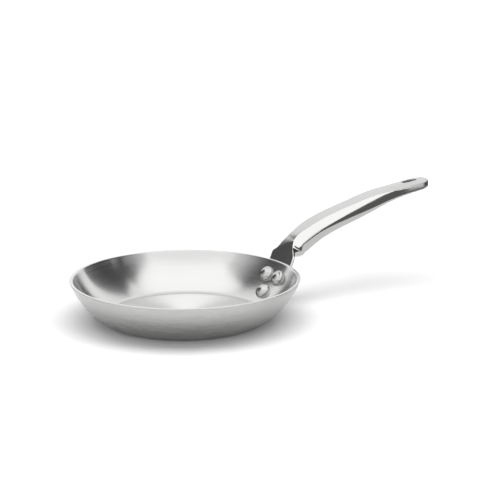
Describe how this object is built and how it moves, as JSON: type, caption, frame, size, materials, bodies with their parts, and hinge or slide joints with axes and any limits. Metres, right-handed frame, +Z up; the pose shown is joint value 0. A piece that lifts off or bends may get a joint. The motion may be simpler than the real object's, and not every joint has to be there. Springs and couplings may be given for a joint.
{
  "type": "frying pan",
  "caption": "Shallow round stainless steel frying pan with curved flared walls, a riveted cast handle with a flat top and a hanging slot at its tip.",
  "frame": {"origin": "centre of the flat base, on the surface that the pan stands on", "axes": "+Z up along the bowl's axis, +X from the bowl's axis along the handle towards its tip"},
  "size_m": [0.3666, 0.2, 0.0969],
  "materials": {
    "outer_steel": "satin",
    "core": "satin",
    "inner_steel": "satin",
    "handle_steel": "polished",
    "rivet_steel": "satin"
  },
  "bodies": {
    "root": {"outer_ply": "outer_steel", "core_ply": "core", "inner_ply": "inner_steel", "handle": "handle_steel", "rivet_upper_left": "rivet_steel", "rivet_upper_right": "rivet_steel", "rivet_lower": "rivet_steel"}
  },
  "joints": []
}
